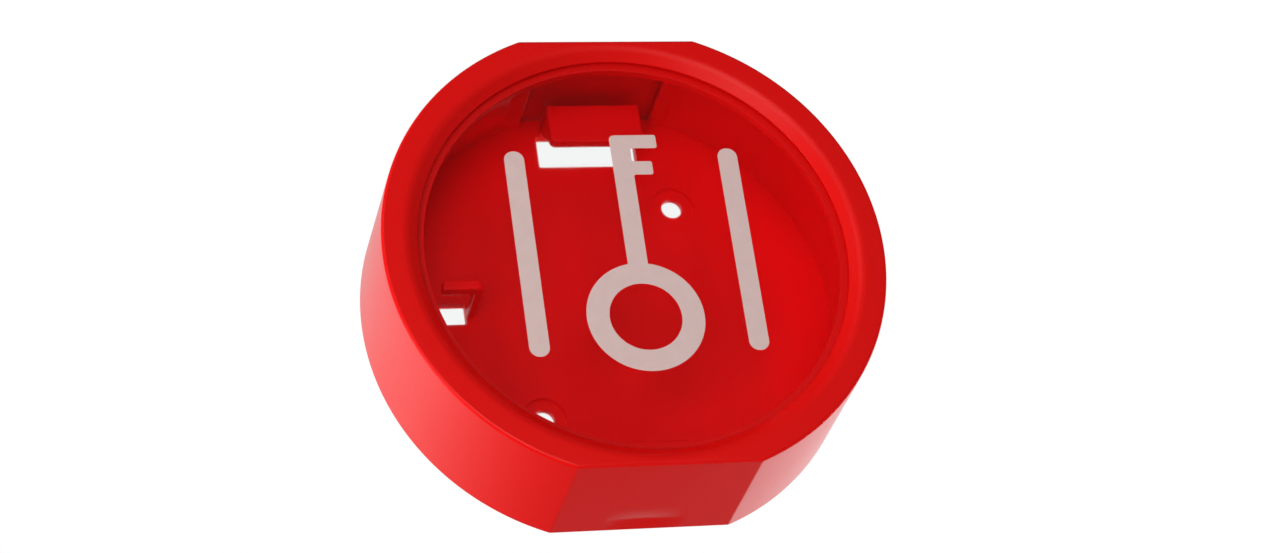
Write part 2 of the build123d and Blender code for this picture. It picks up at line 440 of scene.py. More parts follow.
def noise(
    tree: bpy.types.NodeTree, place: bpy.types.NodeSocket, scale: float, detail: float, roughness: float = 0.5
) -> bpy.types.NodeSocket:
    """Add a noise texture.

    Args:
        tree: Tree that gets the node.
        place: Output socket with the place of each point.
        scale: Waves per metre.
        detail: Number of finer layers on top.
        roughness: Strength of each finer layer.

    Returns:
        The noise, from 0 to 1.
    """
    values = {"Vector": place, "Scale": scale, "Detail": detail, "Roughness": roughness}
    return add_node(tree, "ShaderNodeTexNoise", values).outputs["Fac"]


def mapped(
    tree: bpy.types.NodeTree, value: bpy.types.NodeSocket, source: tuple, target: tuple = (0.0, 1.0)
) -> bpy.types.NodeSocket:
    """Map a value from one span to another, and hold it at the other's ends.

    Args:
        tree: Tree that gets the node.
        value: Output socket to map.
        source: First and last value of the span that is read.
        target: What they become.

    Returns:
        The mapped value.
    """
    spans = {"From Min": source[0], "From Max": source[1], "To Min": target[0], "To Max": target[1]}
    return add_node(tree, "ShaderNodeMapRange", {"Value": value, **spans}).outputs[0]


def blended(
    tree: bpy.types.NodeTree, kind: Blend, factor: bpy.types.NodeSocket,
    first: float | tuple | bpy.types.NodeSocket, second: float | tuple | bpy.types.NodeSocket,
) -> bpy.types.NodeSocket:
    """Mix two numbers or two colours.

    Args:
        tree: Tree that gets the node.
        kind: What is mixed.
        factor: Output socket: 0 gives the first, 1 the second.
        first: Value, colour or output socket.
        second: Value, colour or output socket.

    Returns:
        The mix.
    """
    values = {"Factor": factor, "A": first, "B": second}
    return add_node(tree, "ShaderNodeMix", values, data_type=kind.value).outputs["Result"]


def bump(
    tree: bpy.types.NodeTree, height: bpy.types.NodeSocket, strength: float, depth: float
) -> bpy.types.NodeSocket:
    """Turn a height into a normal.

    Args:
        tree: Tree that gets the node.
        height: Output socket with the height, where 1 stands for the depth.
        strength: Share of the bump that is applied.
        depth: Depth in millimetres.

    Returns:
        The normal.
    """
    values = {"Strength": strength, "Distance": depth * MM, "Height": height}
    return add_node(tree, "ShaderNodeBump", values).outputs["Normal"]


@dataclass(frozen=True)
class MouldedSkin:
    """Skin of a moulded part: flow clouding, fine grain and faint scuffs.

    Scales are waves per metre. The scuffs are a noise that is drawn out along one slanting line,
    of which only the peaks are left. They make the skin rougher and lie below it.
    """

    cloud_scale: float = 26.0
    grain_scale: float = 2600.0
    scuff_scale: float = 900.0
    scuff_draw: tuple = (1.0, 1.0, 0.08)
    scuff_turn: tuple = (0.3, 0.5, 0.2)
    scuff_peaks: tuple = (0.62, 0.78)
    scuff_roughness: float = 0.25
    scuff_height: float = -0.3
    uneven_roughness: tuple = (-0.05, 0.07)

    def build(self) -> bpy.types.NodeTree:
        """Make the shader group that every moulded finish uses.

        Returns:
            A group with Colour, Roughness and Height outputs.
        """
        group, given, result = node_group(
            "moulded_skin",
            {"Colour": (0.5, 0.0, 0.0, 1.0), "Deep Colour": (0.3, 0.0, 0.0, 1.0), "Roughness": 0.3,
             "Clouding": 0.3, "Grain": 0.3, "Scuffs": 0.3},
            {"Colour": "NodeSocketColor", "Roughness": "NodeSocketFloat", "Height": "NodeSocketFloat"},
        )
        place = add_node(group, "ShaderNodeTexCoord").outputs["Object"]
        cloud = noise(group, place, self.cloud_scale, detail=3.0, roughness=0.55)
        grain = noise(group, place, self.grain_scale, detail=2.0)
        drawing = {"Vector": place, "Scale": self.scuff_draw, "Rotation": self.scuff_turn}
        drawn = add_node(group, "ShaderNodeMapping", drawing).outputs[0]
        hairs = noise(group, drawn, self.scuff_scale, detail=3.0, roughness=0.7)
        scuffs = maths(group, "MULTIPLY", mapped(group, hairs, self.scuff_peaks), given.outputs["Scuffs"])
        share = maths(group, "MULTIPLY", cloud, given.outputs["Clouding"])
        colour = blended(group, Blend.COLOURS, share, given.outputs["Colour"], given.outputs["Deep Colour"])
        uneven = mapped(group, cloud, (0.0, 1.0), self.uneven_roughness)
        even = maths(group, "ADD", given.outputs["Roughness"], uneven)
        roughness = maths(group, "MULTIPLY_ADD", scuffs, self.scuff_roughness, even)
        grained = maths(group, "MULTIPLY", grain, given.outputs["Grain"])
        height = maths(group, "MULTIPLY_ADD", scuffs, self.scuff_height, grained)
        for output, source in (("Colour", colour), ("Roughness", roughness), ("Height", height)):
            group.links.new(source, result.inputs[output])
        return group


@dataclass(frozen=True)
class MouldedPlastic:
    """Glossy moulded plastic with slight clouding, grain and scuffs.

    Colours are linear red, green and blue, and the skin's depth is in millimetres.
    """

    name: str
    colour: tuple = (0.82, 0.003, 0.002)
    deep_colour: tuple = (0.72, 0.002, 0.002)
    roughness: float = 0.30
    clouding: float = 0.35
    grain: float = 0.25
    scuffs: float = 0.25
    specular: float = 0.5
    coat: float = 0.25
    coat_roughness: float = 0.12
    ior: float = 1.5
    skin_depth: float = 0.02
    skin_strength: float = 0.12

    def build(self, skin: bpy.types.NodeTree) -> bpy.types.Material:
        """Make the material.

        Args:
            skin: The group that the moulded skin builds.

        Returns:
            The material.
        """
        material, tree, shader = new_material(self.name)
        values = {
            "Colour": (*self.colour, 1.0), "Deep Colour": (*self.deep_colour, 1.0),
            "Roughness": self.roughness, "Clouding": self.clouding,
            "Grain": self.grain, "Scuffs": self.scuffs,
        }
        group = add_node(tree, "ShaderNodeGroup", values, node_tree=skin)
        tree.links.new(group.outputs["Colour"], shader.inputs["Base Color"])
        tree.links.new(group.outputs["Roughness"], shader.inputs["Roughness"])
        normal = bump(tree, group.outputs["Height"], self.skin_strength, self.skin_depth)
        tree.links.new(normal, shader.inputs["Normal"])
        shader.inputs["Specular IOR Level"].default_value = self.specular
        shader.inputs["Coat Weight"].default_value = self.coat
        shader.inputs["Coat Roughness"].default_value = self.coat_roughness
        shader.inputs["IOR"].default_value = self.ior
        return material


@dataclass(frozen=True)
class ClearPane:
    """Thin clear glass that lets the lamps light what is behind it."""

    name: str = "clear_pane"
    tint: tuple = (0.97, 0.985, 0.98)
    roughness: float = 0.05
    smeared: float = 0.09
    smear_scale: float = 45.0
    smear_span: tuple = (0.5, 0.8)
    ior: float = 1.47

    def build(self) -> bpy.types.Material:
        """Make the material.

        Returns:
            The material: glass for what the camera sees, clear for shadows, diffuse light and gloss.
        """
        material, tree, shader = new_material(self.name)
        shader.inputs["Base Color"].default_value = (*self.tint, 1.0)
        shader.inputs["Transmission Weight"].default_value = 1.0
        shader.inputs["IOR"].default_value = self.ior
        place = add_node(tree, "ShaderNodeTexCoord").outputs["Object"]
        smear = noise(tree, place, self.smear_scale, detail=4.0, roughness=0.6)
        roughness = mapped(tree, smear, self.smear_span, (self.roughness, self.smeared))
        tree.links.new(roughness, shader.inputs["Roughness"])
        path = add_node(tree, "ShaderNodeLightPath")
        matt = maths(tree, "MAXIMUM", path.outputs["Is Shadow Ray"], path.outputs["Is Diffuse Ray"])
        glossy, through = path.outputs["Is Glossy Ray"], path.outputs["Is Transmission Ray"]
        mirrored = maths(tree, "SUBTRACT", glossy, through, use_clamp=True)
        passes = maths(tree, "MAXIMUM", matt, mirrored)
        clear = add_node(tree, "ShaderNodeBsdfTransparent", {"Color": (*self.tint, 1.0)})
        mix = add_node(tree, "ShaderNodeMixShader", {0: passes, 1: shader.outputs[0], 2: clear.outputs[0]})
        tree.links.new(mix.outputs[0], tree.nodes["Material Output"].inputs["Surface"])
        return material


@dataclass(frozen=True)
class ScreenInk:
    """Matt ink of a screen print, slightly uneven where the mesh of the screen left it. The ink is white; its
    pink, dimmed colours are painted light: red light bounced off the box, and shade.
    """

    name: str = "screen_ink_and_painted_bounce"
    # painted light: both colours are white ink tinted pink by painted red bounce light and dimmed by painted
    # shade
    colour: tuple = (0.80, 0.60, 0.57)
    thin_ink_and_painted_bounce: tuple = (0.73, 0.52, 0.49)
    roughness: float = 0.45
    screen_scale: float = 5200.0
    screen_depth: float = 0.01
    screen_strength: float = 0.15
    mottle_scale: float = 300.0

    def build(self) -> bpy.types.Material:
        """Make the material.

        Returns:
            The material.
        """
        material, tree, shader = new_material(self.name)
        place = add_node(tree, "ShaderNodeTexCoord").outputs["Object"]
        screen = add_node(tree, "ShaderNodeTexVoronoi", {"Vector": place, "Scale": self.screen_scale})
        mottle = noise(tree, place, self.mottle_scale, detail=3.0)
        colour = blended(tree, Blend.COLOURS, mottle, (*self.colour, 1.0), (*self.thin_ink_and_painted_bounce, 1.0))
        tree.links.new(colour, shader.inputs["Base Color"])
        normal = bump(tree, screen.outputs["Distance"], self.screen_strength, self.screen_depth)
        tree.links.new(normal, shader.inputs["Normal"])
        shader.inputs["Roughness"].default_value = self.roughness
        return material


class Workshop:
    """The finishes, each made once, and the one way a piece is dressed and put on its body."""

    def __init__(self) -> None:
        """Build every finish."""
        skin = MouldedSkin().build()
        self.cover = MouldedPlastic("cover_red").build(skin)
        # painted light: the tray's red is lighter than the cover's so that the shaded inside behind the pane
        # looks brighter
        self.tray = MouldedPlastic(
            "tray_red_with_painted_light", colour=(0.97, 0.001, 0.003), deep_colour=(0.80, 0.001, 0.002),
            roughness=0.36, specular=0.3, coat=0.05,
        ).build(skin)
        self.ring = MouldedPlastic(
            "ring_red", colour=(0.86, 0.002, 0.002), deep_colour=(0.78, 0.001, 0.001),
            roughness=0.5, specular=0.25, coat=0.0,
        ).build(skin)
        self.pane = ClearPane().build()
        self.ink = ScreenInk().build()

    def dress(
        self, piece: bpy.types.Object, material: bpy.types.Material, body: Body, slot: Slot, node: str | None
    ) -> None:
        """Give a piece its finish, its body and the frame's node that it stands for.

        Args:
            piece: Piece to dress.
            material: Its finish.
            body: The body it rides on.
            slot: The record's slot for its finish; not used.
            node: The node that it replaces, or None.
        """
        piece.data.materials.clear()
        piece.data.materials.append(material)
        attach(piece, body.value)
        if node is not None:
            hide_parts(node)
        log.info("%s rides on %s with %d faces", piece.name, body.value, len(piece.data.polygons))


# ---- the box -------------------------------------------------------------------------------------


@dataclass(frozen=True)
class BoxSizes:
    """Driving sizes of the whole box, in millimetres. The first three come from the frame."""

    depth: float
    back_radius: float
    back_flat: float
    draft: float = 0.6
    corner: float = 1.5
    wall: float = 2.5
    wall_gap: float = 0.3
    slide_gap: float = 0.4
    root: float = 0.6
    land_radius: float = 54.0
    lip_radius: float = 51.3
    lip_drop: float = 2.2
    lip_edge: float = 0.4
    pane_radius: float = 52.9
    pane_thickness: float = 1.5
    pane_gap: float = 0.3
    ring_inner: float = 49.6
    ring_thickness: float = 2.2
    ring_gap: float = 0.15
    bead: float = 0.35

    @property
    def seat(self) -> float:
        """Height of the pane's front face."""
        return self.depth - self.lip_drop - self.lip_edge

    @property
    def pane_back(self) -> float:
        """Height of the pane's back face."""
        return self.seat - self.pane_thickness

    @property
    def ring_back(self) -> float:
        """Height of the clip ring's back face."""
        return self.pane_back - self.ring_thickness

    @property
    def collar_inner(self) -> float:
        """Inside radius of the collar round the pane."""
        return self.pane_radius + self.pane_gap

    @property
    def bead_height(self) -> float:
        """Height of the middle of the clip ring's bead."""
        return (self.pane_back + self.ring_back) / 2

    @property
    def tray_top(self) -> float:
        """Height of the tray wall's front edge."""
        return self.ring_back - self.slide_gap

    @property
    def floor_radius(self) -> float:
        """Radius of the tray floor's round edge."""
        return self.back_radius - self.wall - self.slide_gap

    @property
    def floor_flat(self) -> float:
        """Distance from the middle to each straight edge of the tray floor."""
        return self.back_flat - self.wall - self.slide_gap

    @classmethod
    def from_frame(cls) -> "BoxSizes":
        """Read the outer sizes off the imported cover.

        Returns:
            The sizes.
        """
        low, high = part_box("front_cover")
        depth, radius, flat = (round(length / MM, 2) for length in (-low.y, high.z, high.x))
        return cls(depth=depth, back_radius=radius, back_flat=flat)


@dataclass
class FrontCover:
    """The cover: drafted outer wall with two flats, front land, dished bevel, lip and collar.

    Gaps keep straight rows of points clear of the arcs next to them. Turns are spans of closer
    steps round the box, as first angle, last angle and step in degrees from +X.
    """

    box: BoxSizes
    shop: Workshop
    front_round: float = 0.8
    rim_round: float = 0.3
    land_fillet: float = 3.4
    lip_round: float = 0.3
    seat_round: float = 0.2
    inner_round: float = 0.6
    collar_outer: float = 54.8
    collar_rounds: tuple = (0.2, 0.3)
    dent_half_width: float = 9.5
    dent_depth: float = 0.4
    dent_crease: float = 5.9
    dent_above: float = 6.5
    dent_below: float = 5.2
    dent_past: float = 0.6
    plain_gap: float = 2.0
    front_gap: float = 0.5
    inner_gap: float = 1.0
    rim_gap: float = 0.1
    turn_step: float = 1.25
    dent_turns: tuple = (0.0, 12.0, 0.5)
    corner_turns: tuple = (19.6, 22.4, 0.1)
    crease: float = 40.0
    rib_count: int = 6
    rib_width: float = 1.6
    rib_start: float = 30.0
    rib_round: float = 0.25
    catch_top: float = 5.6
    catch_length: float = 2.6
    catch_tip: float = 52.5
    catch_half_length: float = 8.0
    catch_round: float = 0.2

    @property
    def row_start(self) -> float:
        """Height of the first straight row above the rim."""
        return self.box.wall_gap + self.rim_round + self.rim_gap

    def put(self, piece: bpy.types.Object) -> None:
        """Dress a piece of the cover."""
        self.shop.dress(piece, self.shop.cover, Body.COVER, Slot.COVER, "front_cover")

    def outer(self, inset: np.ndarray | float, height: np.ndarray) -> np.ndarray:
        """Section points that follow the drafted outline, as (circle, flat, height) rows.

        Args:
            inset: Distance inwards from the outer wall.
            height: Heights of the points.

        Returns:
            Array of shape (n, 3).
        """
        height = np.atleast_1d(np.asarray(height, float))
        lean = (height - self.box.wall_gap) * np.tan(np.radians(self.box.draft)) + inset
        return np.stack([self.box.back_radius - lean, self.box.back_flat - lean, height], axis=-1)

    @staticmethod
    def round_points(points: list | np.ndarray) -> np.ndarray:
        """Section points that are simply round, as (circle, flat, height) rows."""
        pairs = np.atleast_2d(np.array(points, float))
        return np.stack([pairs[:, 0], np.full(len(pairs), NO_FLAT), pairs[:, 1]], axis=-1)

    def outside(self) -> np.ndarray:
        """Walk up the outside of the cover's section: round the rim, up the wall, round the front edge.

        Returns:
            Array of shape (n, 3) with circle radius, flat distance and height.
        """
        b, rim, front = self.box, self.rim_round, self.front_round
        rim_arc = arc((rim, b.wall_gap + rim), rim, 270, 180, count=5)
        front_arc = arc((front, b.depth - front), front, 180, 90, count=14)
        dent_end = self.dent_crease + self.dent_above + self.dent_past
        dent_rows = np.linspace(self.row_start, dent_end, num=28)
        plain_rows = np.linspace(dent_end + self.plain_gap, b.depth - front - self.front_gap, num=6)
        return np.concatenate([
            self.outer(rim_arc[:, 0], rim_arc[:, 1]),
            self.outer(0.0, np.concatenate([dent_rows, plain_rows])),
            self.outer(front_arc[:, 0], front_arc[:, 1]),
        ])

    def inside(self) -> np.ndarray:
        """Walk the rest of the cover's section, from the front land back to the rim.

        The walk goes over the rounded end of the land, down the bevel to the lip, behind it, down
        the collar with its bead groove, round the collar's end, and back along the underside and
        the inner wall.

        Returns:
            Array of shape (n, 3) with circle radius, flat distance and height.
        """
        b, rim = self.box, self.rim_round
        inner, bead, middle = b.collar_inner, b.bead, b.bead_height
        corners = [
            (b.back_flat, b.depth), (b.land_radius, b.depth), (b.lip_radius, b.seat + b.lip_edge),
            (b.lip_radius, b.seat), (inner, b.seat), (inner, middle + bead), (inner + bead, middle),
            (inner, middle - bead), (inner, b.ring_back), (self.collar_outer, b.ring_back),
            (self.collar_outer, b.depth - b.wall),
        ]
        radii = [
            0, self.land_fillet, self.lip_round, self.lip_round / 2, self.seat_round, 0, 0, 0,
            *self.collar_rounds, 0,
        ]
        front = rounded_polygon(corners, radii, steps=10)[1:]
        under = b.depth - b.wall - self.inner_round
        inner_arc = arc((b.wall + self.inner_round, under), self.inner_round, 90, 180, count=5)
        inner_wall = np.linspace(under - self.inner_gap, self.row_start, num=6)
        rim_inner = arc((b.wall - rim, b.wall_gap + rim), rim, 0, -90, count=4)
        return np.concatenate([
            self.round_points(front),
            self.outer(inner_arc[:, 0], inner_arc[:, 1]),
            self.outer(b.wall, inner_wall),
            self.outer(rim_inner[:, 0], rim_inner[:, 1]),
        ])

    def dented(self, x: np.ndarray, height: np.ndarray, z: np.ndarray) -> np.ndarray:
        """Sink the outer wall into a shallow thumb dent near the wall edge of each flat.

        The depth is a product. Along Z it is 1 - (z / half width)^2. Along the height it grows
        as a square towards a crease and falls off straight below it, so it is nil at the rim.

        Args:
            x: X of the points.
            height: Heights of the points.
            z: Z of the points.

        Returns:
            The new X.
        """
        sideways = np.clip(1 - (z / self.dent_half_width) ** 2, 0, 1)
        above = np.clip(1 - (height - self.dent_crease) / self.dent_above, 0, 1) ** 2
        below = np.clip(1 - (self.dent_crease - height) / self.dent_below, 0, 1)
        share = np.where(height > self.dent_crease, above, below)
        return x - np.sign(x) * self.dent_depth * sideways * share

    def build(self) -> None:
        """Make the shell and the ribs inside it."""
        angle = turn_angles(self.turn_step, [self.dent_turns, self.corner_turns])[:, None]
        parts = []
        for walk, corner in ((self.outside(), self.box.corner), (self.inside(), 0.0)):
            circle, flat, height = (walk[None, :, k] for k in range(3))
            radius = outline_radius(angle, circle, flat, corner)
            parts.append(placed(radius * np.cos(angle), height + 0 * angle, radius * np.sin(angle)))
        parts[0][..., 0] = self.dented(parts[0][..., 0], -parts[0][..., 1], parts[0][..., 2])
        points = np.concatenate(parts, axis=1)
        faces = grid_quads(points.shape[0], points.shape[1], True, True).tolist()
        shell = new_piece("cover_shell", points, faces, self.crease)
        self.put(weighted(shell))
        self.build_ribs()

    def build_ribs(self) -> None:
        """Make the stop ribs round the inside and the catch rib inside each flat."""
        b, half = self.box, self.rib_width / 2
        near, far = self.collar_outer - b.root, b.back_radius - b.wall
        outline = np.array([(near, -half), (far, -half), (far, half), (near, half)])
        for index in range(self.rib_count):
            turn = np.radians(self.rib_start + index * 360 / self.rib_count)
            spin = np.array([[np.cos(turn), np.sin(turn)], [-np.sin(turn), np.cos(turn)]])
            rib = prism(f"cover_stop_rib_{index + 1}", outline @ spin, b.tray_top, b.depth - b.wall + b.root)
            self.put(bevelled(rib, self.rib_round))
        root = b.back_flat - b.wall + b.root
        top, middle, low = self.catch_top - self.catch_length * np.array([0, 0.5, 1])
        for side, name in SIDES:
            foot, tip = side * root, side * self.catch_tip
            catch = np.array([(foot, top), (tip, top), (tip, middle), (foot, low)])
            rib = prism(f"cover_catch_{name}", catch, -self.catch_half_length, self.catch_half_length, "xh")
            self.put(bevelled(rib, self.catch_round))


@dataclass
class WindowPane:
    """The breakable pane with its screen print, and the ring that clips it in.

    The bars' ends and the shallow bit are shares of the bars' half width and of the bit's depth.
    """

    box: BoxSizes
    shop: Workshop
    edge: float = 0.12
    play: float = 0.02
    ring_chamfer: float = 0.2
    ring_round: float = 0.25
    ring_cut: float = 0.07
    print_stand: float = 0.03
    print_step: float = 0.002
    turns: int = 256
    crease: float = 20.0
    bar_half_length: float = 27.0
    bar_half_width: float = 2.4
    bar_end: float = 0.98
    bar_at: float = 26.0
    bow_at: float = -17.5
    bow_outer: float = 14.0
    bow_inner: float = 8.6
    shaft_half: float = 2.4
    shaft_end: float = 31.0
    bit_depth: float = 9.0
    bit_width: float = 3.6
    shallow_bit: float = 0.8
    blade_round: float = 0.5
    tip_round: float = 1.2

    def build(self) -> None:
        """Make the pane, its print and the clip ring."""
        b, e = self.box, self.edge
        low, high = b.pane_back + self.play, b.seat - self.play
        disc = np.array([
            (0, low), (b.pane_radius - e, low), (b.pane_radius, low + e),
            (b.pane_radius, high - e), (b.pane_radius - e, high), (0, high),
        ])
        pane = lathe("pane_disc", disc, self.turns, self.crease)
        self.shop.dress(weighted(pane), self.shop.pane, Body.COVER, Slot.PANE, "window_pane")
        self.build_print()
        inner, outer, low, high = b.ring_inner, b.collar_inner - b.ring_gap, b.ring_back, b.pane_back
        chamfer, turn, cut = self.ring_chamfer, self.ring_round, self.ring_cut
        ring = np.array([
            (inner + turn, low), (outer - chamfer, low), (outer, low + chamfer),
            (outer, b.bead_height - b.bead), (outer + b.bead, b.bead_height), (outer, b.bead_height + b.bead),
            (outer, high), (inner + turn, high), (inner + cut, high - cut),
            (inner, high - turn), (inner, low + turn), (inner + cut, low + cut),
        ])
        clip = lathe("clip_ring", ring, self.turns)
        self.shop.dress(weighted(clip), self.shop.ring, Body.COVER, Slot.RING, "pane_clip_ring")

    def put(self, piece: bpy.types.Object) -> None:
        """Dress a piece of the print."""
        self.shop.dress(piece, self.shop.ink, Body.COVER, Slot.PANE, None)

    def build_print(self) -> None:
        """Make the print: a plain key between two plain bars, a hair above the pane's face."""
        low, high = self.box.seat - self.print_stand, self.box.seat + self.print_stand
        length, width = self.bar_half_length, self.bar_half_width
        for side, name in HALVES:
            below, above = side * self.bar_at - width, side * self.bar_at + width
            corners = [(-length, below), (length, below), (length, above), (-length, above)]
            bar = rounded_polygon(corners, [width * self.bar_end] * 4, steps=10)
            self.put(prism(f"print_bar_{name}", bar, low, high))
        inner, outer = self.bow_inner, self.bow_outer
        bow = np.array([(inner, low), (outer, low), (outer, high), (inner, high)])
        self.put(lathe("print_key_bow", bow, turns=96, middle=self.bow_at))
        half, deep, bit = self.shaft_half, self.bit_depth, self.bit_width
        start, end, shallow = self.bow_at + (inner + outer) / 2, self.shaft_end, deep * self.shallow_bit
        shaft = [
            (start, -half), (end - 3 * bit, -half), (end - 3 * bit, -shallow), (end - 2 * bit, -shallow),
            (end - 2 * bit, -half), (end - bit, -half), (end - bit, -deep), (end, -deep), (end, half),
            (start, half),
        ]
        blade = rounded_polygon(shaft, [0, *[self.blade_round] * 7, self.tip_round, 0], steps=5)
        self.put(prism("print_key_blade", blade, low + self.print_step, high + self.print_step))


@dataclass
class BackTray:
    """The tray: floor, wall, niches, two latches, the key hook and the screw recesses.

    The floor's turns are the span of closer steps round it, and the meeting spread is half of
    such a span in the wall, in degrees. The wall's steps go from niche to span, over it and on.
    """

    box: BoxSizes
    shop: Workshop
    tray_step: float = 0.4
    tray_wall: float = 1.8
    wall_corner: float = 1.2
    wall_steps: tuple = (4, 10, 60)
    wall_round: float = 0.3
    meeting_spread: float = 1.4
    turn_step: float = 1.5
    floor_turns: tuple = (20.6, 23.0, 0.3)
    floor_round: float = 0.2
    core_corner: float = 0.5
    niche_half: float = 16.5
    leaf_inner: float = 48.8
    leaf_outer: float = 50.8
    leaf_round: float = 0.25
    tab_inner: float = 40.4
    tab_half: float = 11.6
    tab_height: float = 14.2
    tab_thickness: float = 3.0
    tab_corners: tuple = (0.4, 0.4, 1.5, 1.5)
    tab_round: float = 0.55
    tab_room: float = 0.4
    core_room: float = 0.9
    notch_room: float = 0.8
    nose_half: float = 8.0
    nose_tip: float = 52.2
    nose_height: float = 6.0
    nose_ramp: float = 4.5
    nose_round: float = 0.2
    gusset: float = 1.6
    gusset_round: float = 0.2
    gusset_sunk: float = 0.3
    gusset_tip: float = 1.5
    sunk: float = 0.02
    hook_half: float = 1.2
    hook_post: float = 33.4
    hook_post_thickness: float = 2.0
    hook_tip: float = 43.3
    hook_height: float = 17.5
    hook_finger: float = 3.0
    hook_corners: tuple = (0, 1.5, 0.6, 0.6, 0.8, 0)
    hook_round: float = 0.35
    slot_half: float = 2.8
    slot_top: float = 44.3
    slot_corner: float = 0.4
    screw: tuple = (28.2, 19.7)
    screw_radius: float = 2.6
    sink_radius: float = 5.3
    sink_depth: float = 1.0

    def put(self, piece: bpy.types.Object) -> None:
        """Dress a piece of the tray."""
        self.shop.dress(piece, self.shop.tray, Body.TRAY, Slot.TRAY, "back_tray")

    def build(self) -> None:
        """Make every part of the tray."""
        self.build_floor()
        for side, name in HALVES:
            self.put(bevelled(self.wall_half(f"tray_wall_{name}", side), self.wall_round))
        for side, name in SIDES:
            self.build_latch(side, name)
        self.build_hook()

    def build_floor(self) -> None:
        """Make the floor plate with its core holes, hook slot and screw holes."""
        b = self.box
        angle = turn_angles(self.turn_step, [self.floor_turns])
        radius = outline_radius(angle, b.floor_radius, b.floor_flat, 0.0)
        outline = np.stack([radius * np.cos(angle), radius * np.sin(angle)], axis=-1)
        floor = prism("tray_floor", outline, 0.0, b.wall)
        low, high, edge = -PAST, b.wall + PAST, b.back_flat - b.wall + PAST
        half, notch = self.tab_half + self.core_room, self.nose_half + self.notch_room
        tools = []
        for side, _ in SIDES:
            near, far = side * (self.tab_inner - self.tab_room), side * self.leaf_inner
            corners = [(near, -half), (far, -half), (far, half), (near, half)]
            tools.append(prism("core", rounded_polygon(corners, [self.core_corner] * 4), low, high))
            near, far = side * self.leaf_outer, side * edge
            nose = np.array([(near, -notch), (far, -notch), (far, notch), (near, notch)])
            tools.append(prism("notch", nose, low, high))
            spot = side * np.array([self.screw[0], -self.screw[1]])
            tools.append(prism("screw", whole_circle(spot, self.screw_radius, 48), low, high))
            sink = whole_circle(spot, self.sink_radius, 60)
            tools.append(prism("sink", sink, b.wall - self.sink_depth, high))
        across, far = self.slot_half, self.slot_top
        near = self.hook_post + self.hook_post_thickness + self.sunk
        corners = [(-across, near), (across, near), (across, far), (-across, far)]
        tools.append(prism("slot", rounded_polygon(corners, [self.slot_corner] * 4), low, high))
        for tool in tools:
            cut = floor.modifiers.new("cut", "BOOLEAN")
            cut.operation, cut.solver, cut.object = "DIFFERENCE", "EXACT", tool
        depsgraph = bpy.context.evaluated_depsgraph_get()
        mesh = bpy.data.meshes.new_from_object(floor.evaluated_get(depsgraph))
        floor.modifiers.clear()
        floor.data = mesh
        for tool in tools:
            bpy.data.objects.remove(tool)
        tidy_mesh(mesh, SHARP)
        self.put(bevelled(floor, self.floor_round, segments=2))

    def wall_half(self, name: str, side: int) -> bpy.types.Object:
        """Make the upper or lower half of the wall, from niche to niche.

        Each of the section's corners follows a circle of radius R cut by flats at distance F. Its
        angle runs from the niche's plane Z = n, which it meets on the flat at atan(n / F), round to
        the other niche, with closer steps where flat and circle meet, at acos(F / R).

        Args:
            name: Name of the piece.
            side: 1 for the upper half, -1 for the lower one.

        Returns:
            The wall.
        """
        b = self.box
        inset = self.tray_step + np.array([self.tray_wall, self.tray_wall, 0.0, 0.0])
        height = np.array([b.wall - b.root, b.tray_top, b.tray_top, b.wall - b.root])
        circle, flat = b.floor_radius - inset, b.floor_flat - inset
        start, meet = np.arctan2(self.niche_half, flat), np.arccos(flat / circle)
        spread = np.radians(self.meeting_spread)
        knots = np.stack([start, meet - spread, meet + spread, np.full(4, np.pi / 2)])
        before, over, after = self.wall_steps
        steps = np.concatenate([
            np.linspace(0, 1, before), np.linspace(1, 2, over)[1:], np.linspace(2, 3, after)[1:],
        ])
        low = np.minimum(steps.astype(int), 2)
        share = (steps - low)[:, None]
        quarter = knots[low] * (1 - share) + knots[low + 1] * share
        angle = np.concatenate([quarter, np.pi - quarter[-2::-1]])
        radius = outline_radius(angle, circle, flat, self.wall_corner)
        points = placed(radius * np.cos(angle), height + 0 * angle, side * radius * np.sin(angle))
        last = (len(angle) - 1) * 4
        faces = grid_quads(len(angle), 4, False, True).tolist()
        return new_piece(name, points, faces + [[0, 1, 2, 3], [last, last + 1, last + 2, last + 3]])

    def build_latch(self, side: int, name: str) -> None:
        """Make one latch: the leaf, its nose, the tab and the two gussets.

        Args:
            side: 1 for the latch at +X, -1 for the one at -X.
            name: What the pieces' names end with.
        """
        leaf_in, leaf_out, tab_in = side * self.leaf_inner, side * self.leaf_outer, side * self.tab_inner
        under, top, half = self.tab_height - self.tab_thickness, self.tab_height, self.tab_half
        near, far, core = leaf_in + side * self.sunk, leaf_out - side * self.sunk, (leaf_in + leaf_out) / 2
        foot, head = self.box.wall - self.box.root, top - self.box.root
        leaf = np.array([(near, foot), (far, foot), (far, head), (near, head)])
        blade = prism(f"latch_leaf_{name}", leaf, self.sunk - half, half - self.sunk, "xh")
        self.put(bevelled(blade, self.leaf_round))
        low, high, tip = self.nose_height, self.nose_height + self.nose_ramp, side * self.nose_tip
        nose = np.array([(core, low), (tip, low), (leaf_out, high), (core, high)])
        wedge = prism(f"latch_nose_{name}", nose, -self.nose_half, self.nose_half, "xh")
        self.put(bevelled(wedge, self.nose_round))
        corners = [(leaf_out, -half), (leaf_out, half), (tab_in, half), (tab_in, -half)]
        tab = prism(f"latch_tab_{name}", rounded_polygon(corners, self.tab_corners), under, top)
        self.put(bevelled(tab, self.tab_round, segments=4))
        low, high = self.box.wall + self.gusset, under + self.gusset_sunk
        tip = tab_in + side * self.gusset_tip
        web = np.array([(core, high), (tip, high), (leaf_in, low), (core, low)])
        for z_side, z_name in HALVES:
            first, last = sorted((z_side * half, z_side * (half - self.gusset)))
            gusset = prism(f"latch_gusset_{name}_{z_name}", web, first + self.sunk, last - self.sunk, "xh")
            self.put(bevelled(gusset, self.gusset_round))

